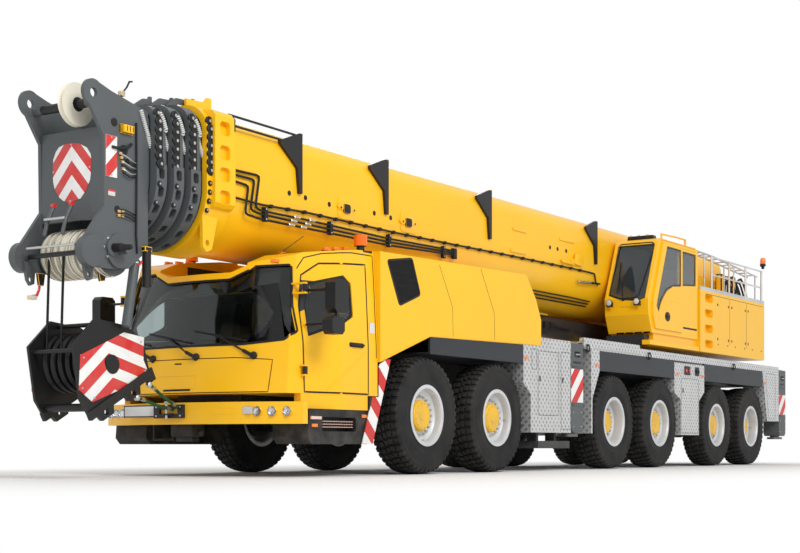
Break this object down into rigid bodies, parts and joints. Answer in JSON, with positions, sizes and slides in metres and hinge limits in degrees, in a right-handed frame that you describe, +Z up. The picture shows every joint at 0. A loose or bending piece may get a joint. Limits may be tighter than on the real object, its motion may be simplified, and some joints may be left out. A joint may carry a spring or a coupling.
{
  "type": "mobile crane",
  "caption": "All-terrain mobile crane with a telescopic boom, driver's cab, slewing crane cab, outriggers and a hook block slung at the nose.",
  "frame": {"origin": "on the ground under the middle of the crane's length and width", "axes": "+X towards the front bumper and boom head, +Y to the vehicle's left, +Z up"},
  "size_m": [17.2739, 3.46, 3.99],
  "materials": {
    "yellow_paint": "glossy yellow machine paint",
    "grey_paint": "satin mid grey paint",
    "chassis_paint": "satin dark grey paint",
    "tread_plate": "raised tread pattern plate",
    "dark_trim": "dark grained plastic",
    "cab_trim": "matte dark trim",
    "window_glass": "tinted safety glass",
    "tyre_rubber": "matte black rubber",
    "chrome_rod": "polished hard chrome"
  },
  "bodies": {
    "carrier": {"chassis_frame": "chassis_paint", "axles": "chassis_paint", "deck_and_lockers": "tread_plate", "mudguards_and_steps": "dark_trim", "engine_hood": "yellow_paint", "engine_block": "chassis_paint", "cab_shell": "yellow_paint", "cab_glass": "window_glass", "cab_interior": "cab_trim", "front_bumper": "yellow_paint"},
    "knuckle_1_left": {"knuckle_1_left": "chassis_paint"},
    "wheel_1_left": {"wheel_1_left": "tyre_rubber"},
    "knuckle_1_right": {"knuckle_1_right": "chassis_paint"},
    "wheel_1_right": {"wheel_1_right": "tyre_rubber"},
    "knuckle_2_left": {"knuckle_2_left": "chassis_paint"},
    "wheel_2_left": {"wheel_2_left": "tyre_rubber"},
    "knuckle_2_right": {"knuckle_2_right": "chassis_paint"},
    "wheel_2_right": {"wheel_2_right": "tyre_rubber"},
    "knuckle_3_left": {"knuckle_3_left": "chassis_paint"},
    "wheel_3_left": {"wheel_3_left": "tyre_rubber"},
    "knuckle_3_right": {"knuckle_3_right": "chassis_paint"},
    "wheel_3_right": {"wheel_3_right": "tyre_rubber"},
    "knuckle_4_left": {"knuckle_4_left": "chassis_paint"},
    "wheel_4_left": {"wheel_4_left": "tyre_rubber"},
    "knuckle_4_right": {"knuckle_4_right": "chassis_paint"},
    "wheel_4_right": {"wheel_4_right": "tyre_rubber"},
    "knuckle_5_left": {"knuckle_5_left": "chassis_paint"},
    "wheel_5_left": {"wheel_5_left": "tyre_rubber"},
    "knuckle_5_right": {"knuckle_5_right": "chassis_paint"},
    "wheel_5_right": {"wheel_5_right": "tyre_rubber"},
    "knuckle_6_left": {"knuckle_6_left": "chassis_paint"},
    "wheel_6_left": {"wheel_6_left": "tyre_rubber"},
    "knuckle_6_right": {"knuckle_6_right": "chassis_paint"},
    "wheel_6_right": {"wheel_6_right": "tyre_rubber"},
    "outrigger_beam_front_left": {"outrigger_beam_front_left": "grey_paint"},
    "outrigger_jack_front_left": {"outrigger_jack_front_left": "chrome_rod"},
    "outrigger_beam_front_right": {"outrigger_beam_front_right": "grey_paint"},
    "outrigger_jack_front_right": {"outrigger_jack_front_right": "chrome_rod"},
    "outrigger_beam_rear_left": {"outrigger_beam_rear_left": "grey_paint"},
    "outrigger_jack_rear_left": {"outrigger_jack_rear_left": "chrome_rod"},
    "outrigger_beam_rear_right": {"outrigger_beam_rear_right": "grey_paint"},
    "outrigger_jack_rear_right": {"outrigger_jack_rear_right": "chrome_rod"},
    "cab_door_left": {"cab_door_left": "yellow_paint", "cab_door_glass_left": "window_glass"},
    "cab_door_right": {"cab_door_right": "yellow_paint", "cab_door_glass_right": "window_glass"},
    "superstructure": {"turntable": "yellow_paint", "crane_house": "yellow_paint", "crane_cab": "yellow_paint", "crane_cab_glass": "window_glass"},
    "crane_cab_door": {"crane_cab_door": "yellow_paint", "crane_cab_door_glass": "window_glass"},
    "boom_base": {"boom_base": "yellow_paint"},
    "boom_section_2": {"boom_section_2": "grey_paint"},
    "boom_section_3": {"boom_section_3": "grey_paint"},
    "boom_section_4": {"boom_section_4": "grey_paint"},
    "boom_head_section": {"boom_head_section": "grey_paint"},
    "hook_block": {"hook_block": "dark_trim"},
    "lift_cylinder_barrel": {"lift_cylinder_barrel": "chassis_paint"},
    "lift_cylinder_rod": {"lift_cylinder_rod": "chrome_rod"}
  },
  "joints": [
    {"name": "steer_1_left", "type": "hinge", "parent": "carrier", "child": "knuckle_1_left", "pos_m": [4.03, 0.9825, 0.685], "axis": [0, 0, 1], "range_deg": [-30, 30]},
    {"name": "roll_1_left", "type": "hinge", "parent": "knuckle_1_left", "child": "wheel_1_left", "pos_m": [4.03, 1.2325, 0.685], "axis": [0, 1, 0], "continuous": true},
    {"name": "steer_1_right", "type": "hinge", "parent": "carrier", "child": "knuckle_1_right", "pos_m": [4.03, -0.9825, 0.685], "axis": [0, 0, 1], "range_deg": [-30, 30]},
    {"name": "roll_1_right", "type": "hinge", "parent": "knuckle_1_right", "child": "wheel_1_right", "pos_m": [4.03, -1.2325, 0.685], "axis": [0, 1, 0], "continuous": true},
    {"name": "steer_2_left", "type": "hinge", "parent": "carrier", "child": "knuckle_2_left", "pos_m": [2.38, 0.9825, 0.685], "axis": [0, 0, 1], "range_deg": [-21.65, 21.65]},
    {"name": "roll_2_left", "type": "hinge", "parent": "knuckle_2_left", "child": "wheel_2_left", "pos_m": [2.38, 1.2325, 0.685], "axis": [0, 1, 0], "continuous": true},
    {"name": "steer_2_right", "type": "hinge", "parent": "carrier", "child": "knuckle_2_right", "pos_m": [2.38, -0.9825, 0.685], "axis": [0, 0, 1], "range_deg": [-21.65, 21.65]},
    {"name": "roll_2_right", "type": "hinge", "parent": "knuckle_2_right", "child": "wheel_2_right", "pos_m": [2.38, -1.2325, 0.685], "axis": [0, 1, 0], "continuous": true},
    {"name": "steer_3_left", "type": "hinge", "parent": "carrier", "child": "knuckle_3_left", "pos_m": [-1.07, 0.9825, 0.685], "axis": [0, 0, 1], "range_deg": [-4.18, 4.18]},
    {"name": "roll_3_left", "type": "hinge", "parent": "knuckle_3_left", "child": "wheel_3_left", "pos_m": [-1.07, 1.2325, 0.685], "axis": [0, 1, 0], "continuous": true},
    {"name": "steer_3_right", "type": "hinge", "parent": "carrier", "child": "knuckle_3_right", "pos_m": [-1.07, -0.9825, 0.685], "axis": [0, 0, 1], "range_deg": [-4.18, 4.18]},
    {"name": "roll_3_right", "type": "hinge", "parent": "knuckle_3_right", "child": "wheel_3_right", "pos_m": [-1.07, -1.2325, 0.685], "axis": [0, 1, 0], "continuous": true},
    {"name": "steer_4_left", "type": "hinge", "parent": "carrier", "child": "knuckle_4_left", "pos_m": [-2.72, 0.9825, 0.685], "axis": [0, 0, 1], "range_deg": [-4.18, 4.18]},
    {"name": "roll_4_left", "type": "hinge", "parent": "knuckle_4_left", "child": "wheel_4_left", "pos_m": [-2.72, 1.2325, 0.685], "axis": [0, 1, 0], "continuous": true},
    {"name": "steer_4_right", "type": "hinge", "parent": "carrier", "child": "knuckle_4_right", "pos_m": [-2.72, -0.9825, 0.685], "axis": [0, 0, 1], "range_deg": [-4.18, 4.18]},
    {"name": "roll_4_right", "type": "hinge", "parent": "knuckle_4_right", "child": "wheel_4_right", "pos_m": [-2.72, -1.2325, 0.685], "axis": [0, 1, 0], "continuous": true},
    {"name": "steer_5_left", "type": "hinge", "parent": "carrier", "child": "knuckle_5_left", "pos_m": [-5.12, 0.9825, 0.685], "axis": [0, 0, 1], "range_deg": [-16.33, 16.33]},
    {"name": "roll_5_left", "type": "hinge", "parent": "knuckle_5_left", "child": "wheel_5_left", "pos_m": [-5.12, 1.2325, 0.685], "axis": [0, 1, 0], "continuous": true},
    {"name": "steer_5_right", "type": "hinge", "parent": "carrier", "child": "knuckle_5_right", "pos_m": [-5.12, -0.9825, 0.685], "axis": [0, 0, 1], "range_deg": [-16.33, 16.33]},
    {"name": "roll_5_right", "type": "hinge", "parent": "knuckle_5_right", "child": "wheel_5_right", "pos_m": [-5.12, -1.2325, 0.685], "axis": [0, 1, 0], "continuous": true},
    {"name": "steer_6_left", "type": "hinge", "parent": "carrier", "child": "knuckle_6_left", "pos_m": [-6.77, 0.9825, 0.685], "axis": [0, 0, 1], "range_deg": [-24.68, 24.68]},
    {"name": "roll_6_left", "type": "hinge", "parent": "knuckle_6_left", "child": "wheel_6_left", "pos_m": [-6.77, 1.2325, 0.685], "axis": [0, 1, 0], "continuous": true},
    {"name": "steer_6_right", "type": "hinge", "parent": "carrier", "child": "knuckle_6_right", "pos_m": [-6.77, -0.9825, 0.685], "axis": [0, 0, 1], "range_deg": [-24.68, 24.68]},
    {"name": "roll_6_right", "type": "hinge", "parent": "knuckle_6_right", "child": "wheel_6_right", "pos_m": [-6.77, -1.2325, 0.685], "axis": [0, 1, 0], "continuous": true},
    {"name": "beam_slide_front_left", "type": "slide", "parent": "carrier", "child": "outrigger_beam_front_left", "axis": [0, 1, 0], "range_m": [0, 1.9]},
    {"name": "jack_slide_front_left", "type": "slide", "parent": "outrigger_beam_front_left", "child": "outrigger_jack_front_left", "axis": [0, 0, -1], "range_m": [0, 0.62]},
    {"name": "beam_slide_front_right", "type": "slide", "parent": "carrier", "child": "outrigger_beam_front_right", "axis": [0, -1, 0], "range_m": [0, 1.9]},
    {"name": "jack_slide_front_right", "type": "slide", "parent": "outrigger_beam_front_right", "child": "outrigger_jack_front_right", "axis": [0, 0, -1], "range_m": [0, 0.62]},
    {"name": "beam_slide_rear_left", "type": "slide", "parent": "carrier", "child": "outrigger_beam_rear_left", "axis": [0, 1, 0], "range_m": [0, 1.9]},
    {"name": "jack_slide_rear_left", "type": "slide", "parent": "outrigger_beam_rear_left", "child": "outrigger_jack_rear_left", "axis": [0, 0, -1], "range_m": [0, 0.62]},
    {"name": "beam_slide_rear_right", "type": "slide", "parent": "carrier", "child": "outrigger_beam_rear_right", "axis": [0, -1, 0], "range_m": [0, 1.9]},
    {"name": "jack_slide_rear_right", "type": "slide", "parent": "outrigger_beam_rear_right", "child": "outrigger_jack_rear_right", "axis": [0, 0, -1], "range_m": [0, 0.62]},
    {"name": "door_hinge_left", "type": "hinge", "parent": "carrier", "child": "cab_door_left", "pos_m": [6.235, 1.3, 1.5], "axis": [0, 0, -1], "range_deg": [0, 70]},
    {"name": "door_hinge_right", "type": "hinge", "parent": "carrier", "child": "cab_door_right", "pos_m": [6.235, -1.3, 1.5], "axis": [0, 0, 1], "range_deg": [0, 70]},
    {"name": "slew", "type": "hinge", "parent": "carrier", "child": "superstructure", "pos_m": [-3.92, 0, 1.87], "axis": [0, 0, 1], "continuous": true},
    {"name": "crane_door_slide", "type": "slide", "parent": "superstructure", "child": "crane_cab_door", "axis": [-1, 0, 0], "range_m": [0, 0.65]},
    {"name": "luff", "type": "hinge", "parent": "superstructure", "child": "boom_base", "pos_m": [-7.17, 0, 3.15], "axis": [0, -1, 0], "range_deg": [0, 82]},
    {"name": "telescope_2", "type": "slide", "parent": "boom_base", "child": "boom_section_2", "axis": [1, 0, 0], "range_m": [0, 11.2]},
    {"name": "telescope_3", "type": "slide", "parent": "boom_section_2", "child": "boom_section_3", "axis": [1, 0, 0], "range_m": [0, 11.2]},
    {"name": "telescope_4", "type": "slide", "parent": "boom_section_3", "child": "boom_section_4", "axis": [1, 0, 0], "range_m": [0, 11.2]},
    {"name": "telescope_5", "type": "slide", "parent": "boom_section_4", "child": "boom_head_section", "axis": [1, 0, 0], "range_m": [0, 11.2]},
    {"name": "hook_hang", "type": "hinge", "parent": "boom_head_section", "child": "hook_block", "pos_m": [8.11, 0, 2.215], "axis": [0, -1, 0], "range_deg": [-57, 0.01]},
    {"name": "lift_cylinder_tilt", "type": "hinge", "parent": "superstructure", "child": "lift_cylinder_barrel", "pos_m": [-4.1, 0, 2.15], "axis": [0, -1, 0], "range_deg": [-0.01, 96.96]},
    {"name": "lift_cylinder_stroke", "type": "slide", "parent": "lift_cylinder_barrel", "child": "lift_cylinder_rod", "axis": [0.9999, 0, 0.0115], "range_m": [-0.001, 3.9401]}
  ],
  "couplings": [
    {"joint": "steer_1_right", "follows": "steer_1_left", "ratio": 1},
    {"joint": "steer_2_left", "follows": "steer_1_left", "ratio": 0.7215},
    {"joint": "steer_2_right", "follows": "steer_1_left", "ratio": 0.7215},
    {"joint": "steer_3_left", "follows": "steer_1_left", "ratio": 0.1392},
    {"joint": "steer_3_right", "follows": "steer_1_left", "ratio": 0.1392},
    {"joint": "steer_4_left", "follows": "steer_1_left", "ratio": -0.1392},
    {"joint": "steer_4_right", "follows": "steer_1_left", "ratio": -0.1392},
    {"joint": "steer_5_left", "follows": "steer_1_left", "ratio": -0.5443},
    {"joint": "steer_5_right", "follows": "steer_1_left", "ratio": -0.5443},
    {"joint": "steer_6_left", "follows": "steer_1_left", "ratio": -0.8228},
    {"joint": "steer_6_right", "follows": "steer_1_left", "ratio": -0.8228},
    {"joint": "hook_hang", "follows": "luff", "ratio": -0.68},
    {"joint": "lift_cylinder_tilt", "follows": "luff", "ratio": 1.1823},
    {"joint": "lift_cylinder_stroke", "follows": "luff", "m_per_rad": 2.7517}
  ]
}
